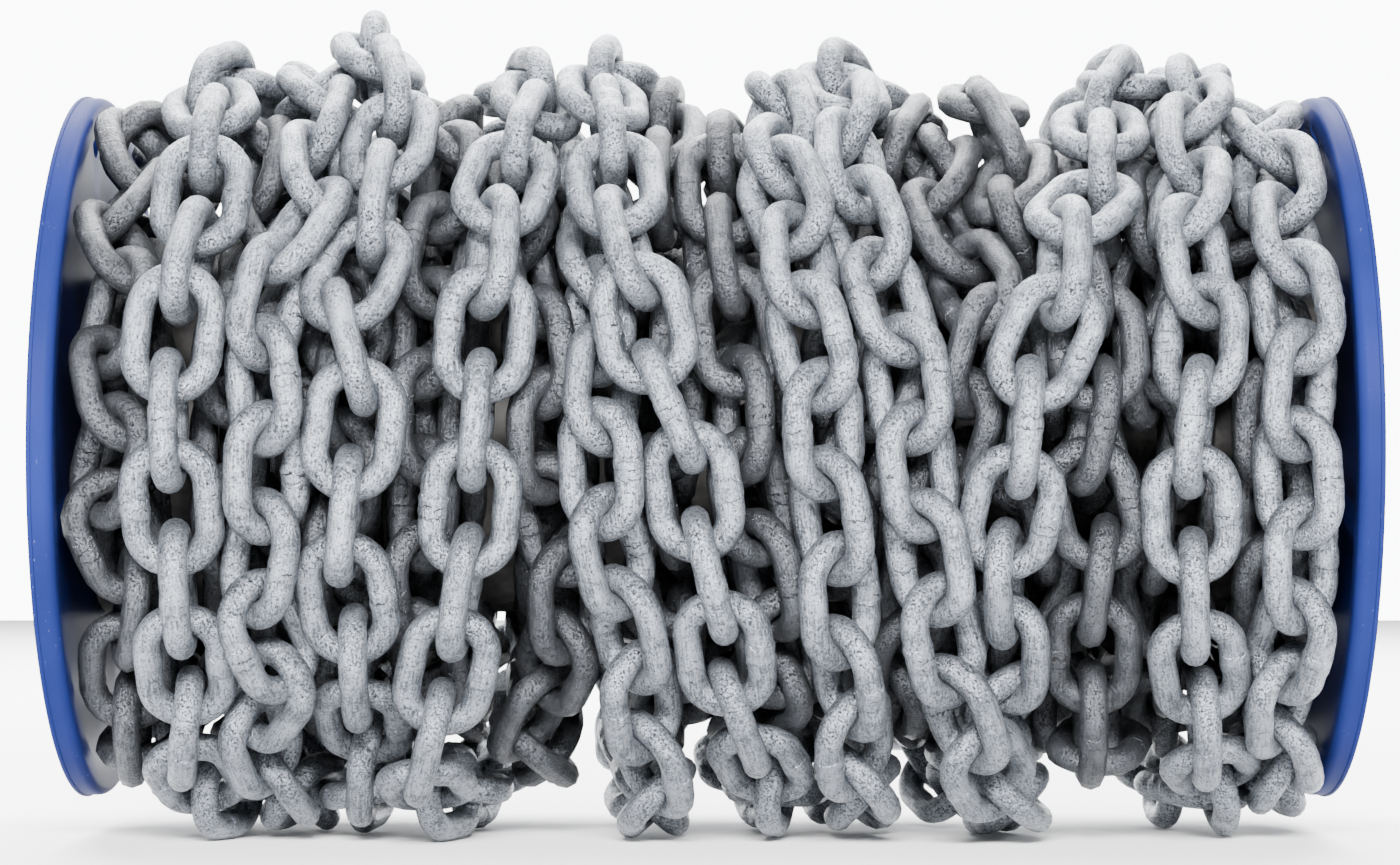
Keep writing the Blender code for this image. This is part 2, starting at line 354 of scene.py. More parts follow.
class Finishes(bpy.types.PropertyGroup):
    """Colours of the zinc, the paint and the floor."""

    zinc: tint("Zinc", "Colour of clean zinc", (0.245, 0.265, 0.298))
    dull_zinc: tint("Dull zinc", "Colour of dull zinc", (0.060, 0.067, 0.078))
    paint: tint("Paint", "Colour of the flanges' paint", (0.0095, 0.0150, 0.080))
    floor: tint("Floor", "Colour of the floor", (0.93, 0.93, 0.93))


# The camera's place and the rays through the photograph's pixels, from the reel's middle


def camera_axes():
    """The camera's place and its right, up and forward directions."""
    elevation = math.radians(CAMERA_ELEVATION)
    forward = np.array([0, math.cos(elevation), -math.sin(elevation)])
    right = np.array([1.0, 0, 0])
    up = np.cross(right, forward)
    place = -CAMERA_DISTANCE * forward
    scale = CAMERA_DISTANCE / FOCAL_PIXELS
    across = (PHOTO_MIDDLE[0] - REEL_MIDDLE[0]) * scale
    upwards = (REEL_MIDDLE[1] - PHOTO_MIDDLE[1]) * scale
    forward = across * right + upwards * up - place
    forward /= np.linalg.norm(forward)
    right = np.cross(forward, [0, 0, 1.0])
    right /= np.linalg.norm(right)
    return place, right, np.cross(right, forward), forward


CAMERA_PLACE, CAMERA_RIGHT, CAMERA_UP, CAMERA_FORWARD = camera_axes()


def ray_through(across, down):
    """Direction from the camera through a pixel of the photograph."""
    ray = CAMERA_FORWARD + CAMERA_RIGHT * (across - PHOTO_MIDDLE[0]) / FOCAL_PIXELS
    ray = ray - CAMERA_UP * (down - PHOTO_MIDDLE[1]) / FOCAL_PIXELS
    return ray / np.linalg.norm(ray)


def on_cylinder(ray, radius):
    """Place along the reel and angle from the front where a ray meets a turn's cylinder, or comes nearest."""
    a = ray[1] ** 2 + ray[2] ** 2
    b = CAMERA_PLACE[1] * ray[1] + CAMERA_PLACE[2] * ray[2]
    c = CAMERA_PLACE[1] ** 2 + CAMERA_PLACE[2] ** 2 - radius ** 2
    reach = (-b - math.sqrt(max(b * b - a * c, 0))) / a
    hit = CAMERA_PLACE + reach * ray
    return hit[0], math.atan2(hit[2], -hit[1])


# Laying out the chain


class Winding:
    """All links in flat arrays: the joint before each link, how it is rolled, and what draws it."""

    def __init__(self):
        self.joints = []
        self.rolls = []
        self.rays = []
        self.radii = []
        self.sunk = []
        self.following = []
        self.names = []

    def add_turn(self, name, places, sunk):
        """Adds a closed turn. Each place is (along the reel, angle, roll, radius, ray or None)."""
        start = len(self.rolls)
        number = len(places)
        centres = np.array([
            (x, -(radius - sunk) * math.cos(angle), (radius - sunk) * math.sin(angle))
            for x, angle, _, radius, _ in places
        ])
        self.joints += list((centres + np.roll(centres, 1, axis=0)) / 2)
        for k, (_, _, roll, radius, ray) in enumerate(places):
            self.rolls.append(roll)
            self.rays.append(ray)
            self.radii.append(radius)
            self.sunk.append(sunk)
            self.following.append(start + (k + 1) % number)
            self.names.append(name)


def eased(share):
    share = min(max(share, 0.0), 1.0)
    return share * share * (3 - 2 * share)


def between_keys(keys, angle):
    """Lane and radius at an angle, eased between keys whose angles fall."""
    for (first, x_first, r_first), (last, x_last, r_last) in zip(keys, keys[1:]):
        if angle >= last:
            share = eased((first - angle) / (first - last))
            return x_first + (x_last - x_first) * share, r_first + (r_last - r_first) * share
    return keys[-1][1:]


def way_length(keys):
    """Length of the way through the keys, measured in short straight steps."""
    first, last = keys[0][0], keys[-1][0]
    points = []
    for k in range(WAY_STEPS + 1):
        angle = first + (last - first) * k / WAY_STEPS
        x, radius = between_keys(keys, angle)
        points.append((x, radius * math.cos(angle), radius * math.sin(angle)))
    return sum(math.dist(here, there) for here, there in zip(points, points[1:]))


def evened(places):
    """Steps of about a pitch from the foremost link on, because a ray hardly says how far round it meets."""
    middle = min(range(len(places)), key=lambda k: abs(places[k][1]))
    for way in (1, -1):
        k = middle + way
        while 0 <= k < len(places):
            x, angle, lie, radius, ray = places[k]
            near = places[k - way][1]
            least, most = (PITCH * share / radius for share in STEP_SHARES)
            step = min(max(way * (near - angle), least), most)
            places[k] = (x, near - way * step, lie, radius, ray)
            k += way


def traced_turn(name, radius, lane, traced, back_radius, rng):
    """A closed turn through the links that the photograph shows and on round the back."""
    places = []
    for item in traced.split():
        across, down, lie, *own_radius = item.split(",")
        ray = ray_through(float(across), float(down))
        link_radius = float(own_radius[0]) / 1000 if own_radius else radius
        x, angle = on_cylinder(ray, link_radius)
        places.append((x, angle, LIES[lie], link_radius, ray))
    evened(places)
    x_top, top = places[0][:2]
    x_low, low = places[-1][:2]
    end = top - 2 * math.pi
    if name in HIDDEN_STRETCHES:
        middle = HIDDEN_STRETCHES[name]
    else:
        middle = ((low - SIDLE, lane, back_radius), (end + SIDLE, lane, back_radius))
    keys = ((low, x_low, places[-1][3]), *middle, (end, x_top, places[0][3]))
    steps = way_length(keys) / (PITCH * ALL_PITCH)
    lean = (places[0][2] - places[-1][2]) % HALF_TURN
    choices = []
    for count in range(int(steps) - 1, int(steps) + 3):
        if (len(places) + count) % 2 == 0:
            continue
        twist = (lean - QUARTER_TURN * count + QUARTER_TURN) % HALF_TURN - QUARTER_TURN
        choices.append((abs(count - steps) + abs(twist) / TWIST_WEIGHT, count, twist))
    _, count, twist = min(choices)
    sway = rng.uniform(*TRACED_SWAY)
    phase = rng.uniform(0, 2 * math.pi)
    last_roll = places[-1][2]
    for k in range(1, count):
        share = k / count
        angle = low + (end - low) * share
        x, turn_radius = between_keys(keys, angle)
        x += sway * math.sin(math.pi * share) * math.sin(SWAY_WAVES * math.pi * share + phase)
        places.append((x, angle, last_roll + QUARTER_TURN * k + twist * share, turn_radius, None))
    return places


def plain_turn(x, radius, rng):
    """A closed turn that the photograph doesn't show."""
    count = 2 * round(math.pi * radius / (PITCH * ALL_PITCH))
    start = rng.uniform(0, 2 * math.pi)
    lay = rng.uniform(*PLAIN_LAY)
    sway = rng.uniform(*PLAIN_SWAY)
    places = []
    for k in range(count):
        angle = start - 2 * math.pi * k / count
        places.append((x + sway * math.sin(PLAIN_WAVES * k), angle, lay + QUARTER_TURN * k, radius, None))
    return places


def wind_chain():
    """Every turn in its first place."""
    winding = Winding()
    rng = np.random.default_rng(CHAIN_SEED)
    for name, (radius, lane, traced) in OUTER_TURNS.items():
        winding.add_turn(name, traced_turn(name, radius, lane, traced, BACK_RADIUS, rng), 0.0)
    for name, (radius, lane, traced) in INNER_TURNS.items():
        places = traced_turn(name, radius, lane, traced, INNER_RADIUS, rng)
        winding.add_turn(name, places, START_SUNK)
    for number, lane in enumerate(PLAIN_INNER_LANES, len(INNER_TURNS) + 1):
        winding.add_turn(f"inner_turn_{number:02d}", plain_turn(lane, INNER_RADIUS, rng), START_SUNK)
    for k in range(DEEP_TURNS):
        lane = DEEP_FIRST + DEEP_STEP * k
        winding.add_turn("deep_turns", plain_turn(lane, DEEP_RADIUS, rng), START_SUNK)
    return winding


def side_and_out(centre, along):
    """For each link, the directions beside it along the reel and away from the reel's axis."""
    side = np.array([1.0, 0, 0]) - along * along[:, :1]
    side /= np.linalg.norm(side, axis=1)[:, None]
    out = np.cross(along, side)
    flip = np.sign((out * centre * np.array([0, 1.0, 1.0])).sum(1))
    flip[flip == 0] = 1
    return side, out * flip[:, None], flip


def link_frames(joints, following, rolls):
    """Each link's middle, its direction along the chain, and the direction from leg to leg."""
    ahead = joints[following]
    centre = (joints + ahead) / 2
    along = ahead - joints
    along /= np.linalg.norm(along, axis=1)[:, None]
    side, out, flip = side_and_out(centre, along)
    turn = np.radians(rolls)[:, None]
    return centre, along, np.cos(turn) * side + np.sin(turn) * out, flip


def wire_beads():
    """Evenly spaced points of a link's centreline, along and across the link."""
    end_radius = (LINK_WIDTH - WIRE) / 2
    half_leg = (PITCH + WIRE) / 2 - end_radius
    leg = 2 * half_leg
    bend = math.pi * end_radius
    points = []
    for k in range(BEADS):
        s = (k + 0.5) / BEADS * 2 * (leg + bend)
        turned = s >= leg + bend
        if turned:
            s -= leg + bend
        if s < leg:
            x, y = s - half_leg, end_radius
        else:
            angle = math.pi / 2 - (s - leg) / end_radius
            x, y = half_leg + end_radius * math.cos(angle), end_radius * math.sin(angle)
        points.append((-x, -y) if turned else (x, y))
    return np.array(points)


def bead_points(beads, centre, along, wide):
    """Where the beads of every link are."""
    return (
        centre[:, None, :]
        + beads[:, 0][None, :, None] * along[:, None, :]
        + beads[:, 1][None, :, None] * wide[:, None, :]
    )


def near_pairs(centre, following):
    """Pairs of links near enough to touch, without those joined to each other."""
    apart = centre[:, None, :] - centre[None, :, :]
    first, second = np.nonzero(np.triu((apart ** 2).sum(2) < NEAR_LINKS ** 2, 1))
    free = (following[first] != second) & (following[second] != first)
    return first[free], second[free]


def push_links(joints, rolls, following, frames, beads, pushed, bead, push):
    """Moves the joints and rolls of the links whose beads are pushed."""
    number = len(rolls)
    centre, along, wide, flip = frames
    share = 0.5 + beads[bead, 0] / PITCH
    move = np.zeros((number, 3))
    hits = np.zeros(number)
    np.add.at(move, pushed, push * np.clip(1 - share, 0, 1)[:, None])
    np.add.at(move, following[pushed], push * np.clip(share, 0, 1)[:, None])
    np.add.at(hits, pushed, 1)
    np.add.at(hits, following[pushed], 1)
    joints += move / np.maximum(hits, 1)[:, None] * CONTACT_STEP
    thick = np.cross(along[pushed], wide[pushed])
    twist = np.zeros(number)
    twisted = np.zeros(number)
    np.add.at(twist, pushed, np.sign(beads[bead, 1]) * (push * thick).sum(1))
    np.add.at(twisted, pushed, 1)
    arm = (LINK_WIDTH - WIRE) / 2
    rolls += np.degrees(twist / np.maximum(twisted, 1) / arm) * ROLL_STEP * flip


def settle(winding, rounds):
    """Draws the links to their rays and radii and pushes them out of each other."""
    joints = np.array(winding.joints)
    rolls = np.array(winding.rolls, float)
    goal_rolls = rolls.copy()
    following = np.array(winding.following)
    radii = np.array(winding.radii)
    sunk = np.array(winding.sunk)
    number = len(rolls)
    seen = np.array([ray is not None for ray in winding.rays])
    rays = np.array([(0, 1, 0) if ray is None else ray for ray in winding.rays])
    beads = wire_beads()
    low = np.array([-CHAIN_HALF_WIDTH, -CHAIN_HALF_DEPTH, -AXIS_HEIGHT]) + WIRE / 2
    high = np.array([CHAIN_HALF_WIDTH, CHAIN_HALF_DEPTH, CHAIN_TOP]) - WIRE / 2
    radius_pull = np.where(seen, FRONT_RADIUS_PULL, BACK_RADIUS_PULL)
    for step in range(rounds):
        done = step / rounds
        hold = 1.0 if done < LOOSE_FROM else max(LOOSE_AT_END, (1 - done) / (1 - LOOSE_FROM))
        centre, along, wide, flip = link_frames(joints, following, rolls)
        pull = np.zeros((number, 3))
        on_ray = CAMERA_PLACE + rays * ((centre - CAMERA_PLACE) * rays).sum(1)[:, None]
        pull[seen] += RAY_PULL * (on_ray - centre)[seen]
        radial = centre * np.array([0, 1.0, 1.0])
        reach = np.linalg.norm(radial, axis=1)
        still_sunk = max(0.0, 1 - done / RISING_SHARE)
        goal = radii - sunk * still_sunk
        pull += (radius_pull * (goal - reach) / reach)[:, None] * radial
        joints += pull * hold / 2
        np.add.at(joints, following, pull * hold / 2)
        frames = link_frames(joints, following, rolls)
        centre, along, wide, flip = frames
        if step % LOOK_EVERY == 0:
            first, second = near_pairs(centre, following)
        points = bead_points(beads, centre, along, wide)
        apart = points[first][:, :, None, :] - points[second][:, None, :, :]
        square = (apart ** 2).sum(3)
        wanted_gap = WIRE + CLEAR_GAP
        pair, a, b = np.nonzero(square < wanted_gap ** 2)
        distance = np.maximum(np.sqrt(square[pair, a, b]), NO_DISTANCE)
        push = apart[pair, a, b] / distance[:, None] * (wanted_gap - distance)[:, None] / 2
        push_links(joints, rolls, following, frames, beads, first[pair], a, push)
        push_links(joints, rolls, following, frames, beads, second[pair], b, -push)
        inside = np.clip(points, low, high) - points
        link, bead = np.nonzero((inside ** 2).sum(2) > 0)
        push_links(joints, rolls, following, frames, beads, link, bead, inside[link, bead])
        rolls += ROLL_RETURN * hold * (goal_rolls - rolls)
        quarter = (rolls[following] - rolls) % HALF_TURN - QUARTER_TURN
        stray = np.sign(quarter) * np.maximum(np.abs(quarter) - QUARTER_SLACK, 0) * QUARTER_STEP
        rolls += stray
        rolls[following] -= stray
        for _ in range(LENGTH_PASSES):
            span = joints[following] - joints
            length = np.linalg.norm(span, axis=1)
            wanted = np.clip(length, PITCH * SLACK, PITCH)
            fix = ((length - wanted) / length)[:, None] * span * LENGTH_STEP
            joints += fix
            joints[following] -= fix
    centre, along, wide, _ = link_frames(joints, following, rolls)
    lowest = bead_points(beads, centre, along, wide)[:, :, 2].min() - WIRE / 2
    centre[:, 2] -= lowest
    span = np.linalg.norm(joints[following] - joints, axis=1)
    return {"centre": centre, "along": along, "wide": wide, "span": span, "names": np.array(winding.names)}


def laid_chain():
    """The settled links, worked out once."""
    if not LAID:
        LAID.update(settle(wind_chain(), ROUNDS))
        LAID["centre"][:, 2] += WELD_LIFT
    return LAID


# Help with node trees


def add_node(tree, kind, inputs=None, **settings):
    """Adds a node, with its settings and its inputs set or linked."""
    node = tree.nodes.new(kind)
    for name, value in settings.items():
        setattr(node, name, value)
    for key, value in (inputs or {}).items():
        if isinstance(value, bpy.types.NodeSocket):
            tree.links.new(value, node.inputs[key])
        else:
            node.inputs[key].default_value = value
    return node


def maths(tree, operation, *values, clamp=False):
    inputs = dict(enumerate(values))
    return add_node(tree, "ShaderNodeMath", inputs, operation=operation, use_clamp=clamp).outputs[0]


def product(tree, result, *values):
    """The values multiplied."""
    for value in values:
        result = maths(tree, "MULTIPLY", result, value)
    return result


def weighted(tree, first, *others):
    """The sum of values, each given with its weight."""
    result = product(tree, *first)
    for pair in others:
        result = maths(tree, "ADD", result, product(tree, *pair))
    return result


def centred(tree, value):
    """A value from 0 to 1 moved to lie around 0."""
    return maths(tree, "SUBTRACT", value, 0.5)


def spread(tree, value, low, high, to_low=0.0, to_high=1.0):
    """Maps low to high onto to_low to to_high, smoothly and within those ends."""
    inputs = {"Value": value, "From Min": low, "From Max": high, "To Min": to_low, "To Max": to_high}
    return add_node(tree, "ShaderNodeMapRange", inputs, interpolation_type="SMOOTHSTEP").outputs[0]


def mixed(tree, share, first, second, way="MIX"):
    """Mixes two colours."""
    inputs = {0: share, 6: first, 7: second}
    return add_node(tree, "ShaderNodeMix", inputs, data_type="RGBA", blend_type=way).outputs[2]


def noise(tree, place, scale, detail=3.0, roughness=0.55, distortion=0.0):
    inputs = {
        "Vector": place, "Scale": scale, "Detail": detail, "Roughness": roughness, "Distortion": distortion,
    }
    return add_node(tree, "ShaderNodeTexNoise", inputs).outputs["Fac"]


def stored(tree, name):
    """A value kept on the mesh."""
    return add_node(tree, "ShaderNodeAttribute", attribute_type="GEOMETRY", attribute_name=name)


def roughen(tree, shader, height, strength, distance):
    """Gives the shader a bump."""
    bump = add_node(tree, "ShaderNodeBump", {"Height": height, "Strength": strength, "Distance": distance})
    tree.links.new(bump.outputs[0], shader.inputs["Normal"])


def stretched(tree, place, scale):
    """A place measured with another scale on each axis."""
    return add_node(tree, "ShaderNodeMapping", {"Vector": place, "Scale": scale}).outputs[0]


def opaque(colour):
    return (*colour, 1.0)


def new_material(name):
    """A material with an empty tree, its shader and its Object coordinates."""
    material = bpy.data.materials.new(name)
    material.use_nodes = True
    tree = material.node_tree
    tree.nodes.clear()
    shader = add_node(tree, "ShaderNodeBsdfPrincipled")
    add_node(tree, "ShaderNodeOutputMaterial", {"Surface": shader.outputs[0]})
    place = add_node(tree, "ShaderNodeTexCoord").outputs["Object"]
    return material, tree, shader, place


# Materials


def zinc_material(name, clean, dull, grime, grime_and_shade_share, roughness):
    """Hot-dipped zinc: fine grey grain with dark pits, streaks along the wire, and a rough weld on one leg."""
    worn_to_clean, rough_to_smooth, smeared = (0.41, 0.57), (0.40, 0.60), (0.52, 0.74)
    dark_share, collar_share = 0.85, 0.25
    rougher, smoother = roughness + 0.10, roughness - 0.06
    bump_strength, bump_height = 0.95, 0.0009
    material, tree, shader, place = new_material(name)
    tone_and_shade = stored(tree, "tone_and_shade").outputs["Fac"]
    seed = stored(tree, "seed").outputs["Fac"]
    spot = stored(tree, "spot").outputs["Vector"]
    patches = noise(tree, place, *ZINC_PATCHES)
    grain = noise(tree, place, *ZINC_GRAIN)
    fine = noise(tree, place, *ZINC_FINE)
    shifted = add_node(tree, "ShaderNodeVectorMath", {0: spot, 1: seed}, operation="ADD").outputs[0]
    streaks = noise(tree, stretched(tree, shifted, ALONG_WIRE), *ZINC_STREAKS)
    mottle = weighted(tree, (patches, 0.30), (grain, 0.40), (streaks, 0.30))
    colour = mixed(tree, spread(tree, mottle, *worn_to_clean), opaque(dull), opaque(clean))
    parts = add_node(tree, "ShaderNodeSeparateXYZ", {0: spot})
    along, across = parts.outputs[0], parts.outputs[1]
    pits = zinc_pits(tree, along, patches, grain, fine)
    colour = mixed(tree, product(tree, pits, dark_share), colour, opaque(grime))
    # Grime smears; on the inner links their larger share is partly painted shade
    smears = spread(tree, noise(tree, place, *ZINC_SMEARS), *smeared)
    colour = mixed(tree, product(tree, smears, grime_and_shade_share), colour, opaque(grime))
    collar, crack = weld_marks(tree, place, seed, along, across)
    colour = mixed(tree, product(tree, collar, collar_share), colour, opaque(clean))
    colour = mixed(tree, product(tree, crack, dark_share), colour, opaque(grime))
    # The link's tone varies at random, and darkens the inner and deep layers as painted shade
    toned = add_node(tree, "ShaderNodeCombineColor", {0: tone_and_shade, 1: tone_and_shade, 2: tone_and_shade}).outputs[0]
    colour = mixed(tree, 1.0, colour, toned, "MULTIPLY")
    height = weighted(tree, (grain, 0.55), (patches, 0.9), (fine, 0.20), (streaks, 0.25), (collar, 0.55),
                      (crack, -0.9), (pits, -0.35))
    roughen(tree, shader, height, bump_strength, bump_height)
    tree.links.new(colour, shader.inputs["Base Color"])
    rough = spread(tree, mottle, *rough_to_smooth, rougher, smoother)
    tree.links.new(rough, shader.inputs["Roughness"])
    shader.inputs["Metallic"].default_value = ZINC_METALLIC
    return material


def zinc_pits(tree, along, patches, grain, fine):
    """Small dark pits, denser at the crowns of a link."""
    crown, pitted, unfilled = (0.008, 0.019), (0.335, 0.275), (0.60, 0.44)
    at_crown = spread(tree, maths(tree, "ABSOLUTE", along), *crown)
    denser = weighted(tree, (at_crown, 0.05), (patches, 0.16))
    pits = spread(tree, maths(tree, "SUBTRACT", grain, denser), *pitted)
    return product(tree, pits, spread(tree, fine, *unfilled))


def weld_marks(tree, place, seed, along, across):
    """The rough collar of the weld on one leg, and the broken crack across it."""
    wander_size, shift_size = 0.0050, 0.0030
    leg, crack_width, collar_width, whole = (0.004, 0.0065), (0.00036, 0.00012), (0.0040, 0.0030), (0.46, 0.54)
    on_leg = spread(tree, across, *leg)
    wander = product(tree, centred(tree, noise(tree, place, *WELD_WANDER)), wander_size)
    shift = product(tree, centred(tree, seed), shift_size)
    from_weld = maths(tree, "ABSOLUTE", maths(tree, "ADD", along, maths(tree, "ADD", wander, shift)))
    crack = spread(tree, from_weld, *crack_width)
    broken = spread(tree, noise(tree, place, *CRACK_BREAKS), *whole)
    crack = product(tree, crack, on_leg, broken)
    collar = product(tree, spread(tree, from_weld, *collar_width), on_leg)
    return collar, crack


def paint_material(name, paint):
    """Blue paint over pressed steel, with fine scratches and a little dust."""
    cloudy, scratched, patched, specked = (0.35, 0.65), (0.66, 0.72), (0.52, 0.62), (0.74, 0.79)
    cloud_shade, scratch_gain, scratch_lift = 0.72, 1.8, 0.10
    scratch_share, speck_share = 0.5, 0.4
    plain_roughness, scratch_roughness = 0.42, 0.3
    bump_strength, bump_height = 0.25, 0.0012
    material, tree, shader, place = new_material(name)
    waves = noise(tree, place, *PAINT_WAVES)
    clouds = noise(tree, place, *PAINT_CLOUDS)
    darker = tuple(c * cloud_shade for c in paint)
    colour = mixed(tree, spread(tree, clouds, *cloudy), opaque(darker), opaque(paint))
    streaks = noise(tree, stretched(tree, place, DOWN_FLANGE), *PAINT_STREAKS)
    patches = noise(tree, place, *PAINT_PATCHES)
    scratches = product(tree, spread(tree, streaks, *scratched), spread(tree, patches, *patched))
    pale = tuple(min(1.0, c * scratch_gain + scratch_lift) for c in paint)
    colour = mixed(tree, product(tree, scratches, scratch_share), colour, opaque(pale))
    specks = spread(tree, noise(tree, place, *PAINT_SPECKS), *specked)
    colour = mixed(tree, product(tree, specks, speck_share), colour, opaque(pale))
    tree.links.new(colour, shader.inputs["Base Color"])
    roughen(tree, shader, waves, bump_strength, bump_height)
    rough = maths(tree, "ADD", plain_roughness, product(tree, scratches, scratch_roughness))
    tree.links.new(rough, shader.inputs["Roughness"])
    shader.inputs["IOR"].default_value = PAINT_IOR
    return material


def steel_material(name):
    """Plain dark drawn steel with a thin brown film."""
    bare, filmed, drawn_bright = (0.20, 0.20, 0.21), (0.11, 0.08, 0.06), (0.36, 0.36, 0.37)
    film_tone, film_rough, drawn_tone = (0.4, 0.7), (0.3, 0.7), (0.35, 0.7)
    drawn_share, least_rough, most_rough = 0.35, 0.35, 0.6
    bump_strength, bump_height = 0.2, 0.0004
    material, tree, shader, place = new_material(name)
    drawn = noise(tree, stretched(tree, place, ALONG_TUBE), *STEEL_DRAWN)
    film = noise(tree, place, *STEEL_FILM)
    colour = mixed(tree, spread(tree, film, *film_tone), opaque(bare), opaque(filmed))
    colour = mixed(tree, spread(tree, drawn, *drawn_tone, 0.0, drawn_share), colour, opaque(drawn_bright))
    tree.links.new(colour, shader.inputs["Base Color"])
    tree.links.new(spread(tree, film, *film_rough, least_rough, most_rough), shader.inputs["Roughness"])
    roughen(tree, shader, drawn, bump_strength, bump_height)
    shader.inputs["Metallic"].default_value = STEEL_METALLIC
    return material


def shadow_material(name):
    """The darkness of chain deep inside the reel."""
    black, brown, clumped = (0.010, 0.009, 0.009), (0.045, 0.042, 0.040), (0.4, 0.65)
    bump_strength, bump_height, dull_roughness = 0.8, 0.004, 0.8
    material, tree, shader, place = new_material(name)
    clumps = noise(tree, place, *CORE_CLUMPS)
    colour = mixed(tree, spread(tree, clumps, *clumped), opaque(black), opaque(brown))
    tree.links.new(colour, shader.inputs["Base Color"])
    roughen(tree, shader, clumps, bump_strength, bump_height)
    shader.inputs["Roughness"].default_value = dull_roughness
    return material


def floor_material(name, colour):
    """A plain matt pale floor with hardly any grain."""
    grain_shade, matt_roughness = 0.985, 0.9
    material, tree, shader, place = new_material(name)
    grain = noise(tree, place, *FLOOR_GRAIN)
    slightly = tuple(c * grain_shade for c in colour)
    tree.links.new(mixed(tree, grain, opaque(slightly), opaque(colour)), shader.inputs["Base Color"])
    shader.inputs["Roughness"].default_value = matt_roughness
    return material


# Links made by Geometry Nodes


def named_input(tree, name, kind, value=None):
    socket = tree.interface.new_socket(name, in_out="INPUT", socket_type=kind)
    if value is not None:
        socket.default_value = value
    return socket


def link_sizes(sizes):
    """What the tree's inputs say about a link."""
    return {
        "Wire": sizes.wire, "Pitch": sizes.pitch, "Width": sizes.width, "Weld swell": sizes.weld_swell,
        "Weld lumps": sizes.weld_lumps, "Dents": sizes.dents,
    }


def kept_vector(tree, name):
    """A vector kept on the mesh."""
    kept = add_node(tree, "GeometryNodeInputNamedAttribute", {"Name": name}, data_type="FLOAT_VECTOR")
    return kept.outputs[0]


def on_weld(tree, spot, reach):
    """How near a point of a link is to the weld on its one leg."""
    parts = add_node(tree, "ShaderNodeSeparateXYZ", {0: spot})
    near_weld = spread(tree, maths(tree, "ABSOLUTE", parts.outputs[0]), *reach)
    return product(tree, near_weld, maths(tree, "GREATER_THAN", parts.outputs[1], 0.0))


def link_tree(sizes):
    """A tree that puts a welded link on every vertex, turned by the vertex's two directions."""
    tree = bpy.data.node_groups.new("Short links on points", "GeometryNodeTree")
    tree.interface.new_socket("Geometry", in_out="INPUT", socket_type="NodeSocketGeometry")
    for name, value in link_sizes(sizes).items():
        named_input(tree, name, "NodeSocketFloat", value)
    named_input(tree, "Rings", "NodeSocketInt", sizes.outer_rings)
    named_input(tree, "Sides", "NodeSocketInt", sizes.outer_sides)
    named_input(tree, "Material", "NodeSocketMaterial")
    tree.interface.new_socket("Geometry", in_out="OUTPUT", socket_type="NodeSocketGeometry")
    given = add_node(tree, "NodeGroupInput").outputs
    spot = one_link(tree, given)
    axes = {"Primary Axis": kept_vector(tree, "along"), "Secondary Axis": kept_vector(tree, "wide")}
    turned = add_node(tree, "FunctionNodeAxesToRotation", axes, primary_axis="X", secondary_axis="Y")
    links = add_node(tree, "GeometryNodeInstanceOnPoints",
                     {"Points": given["Geometry"], "Instance": spot, "Rotation": turned.outputs[0]})
    real = add_node(tree, "GeometryNodeRealizeInstances", {"Geometry": links.outputs[0]})
    uneven = add_node(tree, "GeometryNodeSetPosition",
                      {"Geometry": real.outputs[0], "Offset": unevenness(tree, given)})
    finished = add_node(tree, "GeometryNodeSetMaterial",
                        {"Geometry": uneven.outputs[0], "Material": given["Material"]})
    add_node(tree, "NodeGroupOutput", {"Geometry": finished.outputs[0]})
    return tree


def one_link(tree, given):
    """A link of round wire, thicker at its weld, that keeps each point's place in the attribute spot."""
    nearly_half, corner_points, swollen = 0.4999, 14, (0.0055, 0.0015)
    length = maths(tree, "ADD", given["Pitch"], given["Wire"])
    width = maths(tree, "SUBTRACT", given["Width"], given["Wire"])
    box = add_node(tree, "GeometryNodeCurvePrimitiveQuadrilateral", {"Width": length, "Height": width})
    rounded = add_node(tree, "GeometryNodeFilletCurve",
                       {"Curve": box.outputs[0], "Radius": product(tree, width, nearly_half),
                        "Count": corner_points}, mode="POLY")
    evened = add_node(tree, "GeometryNodeResampleCurve",
                      {"Curve": rounded.outputs[0], "Count": given["Rings"]})
    place = add_node(tree, "GeometryNodeInputPosition").outputs[0]
    swell = product(tree, on_weld(tree, place, swollen), given["Weld swell"])
    thickness = maths(tree, "ADD", swell, 1.0)
    thick = add_node(tree, "GeometryNodeSetCurveRadius", {"Curve": evened.outputs[0], "Radius": thickness})
    half_wire = product(tree, given["Wire"], 0.5)
    circle = add_node(tree, "GeometryNodeCurvePrimitiveCircle",
                      {"Resolution": given["Sides"], "Radius": half_wire}, mode="RADIUS")
    wire = add_node(tree, "GeometryNodeCurveToMesh",
                    {"Curve": thick.outputs[0], "Profile Curve": circle.outputs[0]})
    if "Scale" in wire.inputs:
        tree.links.new(add_node(tree, "GeometryNodeInputRadius").outputs[0], wire.inputs["Scale"])
    smooth = add_node(tree, "GeometryNodeSetShadeSmooth", {"Geometry": wire.outputs[0]})
    spot = add_node(tree, "GeometryNodeStoreNamedAttribute",
                    {"Geometry": smooth.outputs[0], "Name": "spot", "Value": place},
                    data_type="FLOAT_VECTOR", domain="POINT")
    return spot.outputs[0]


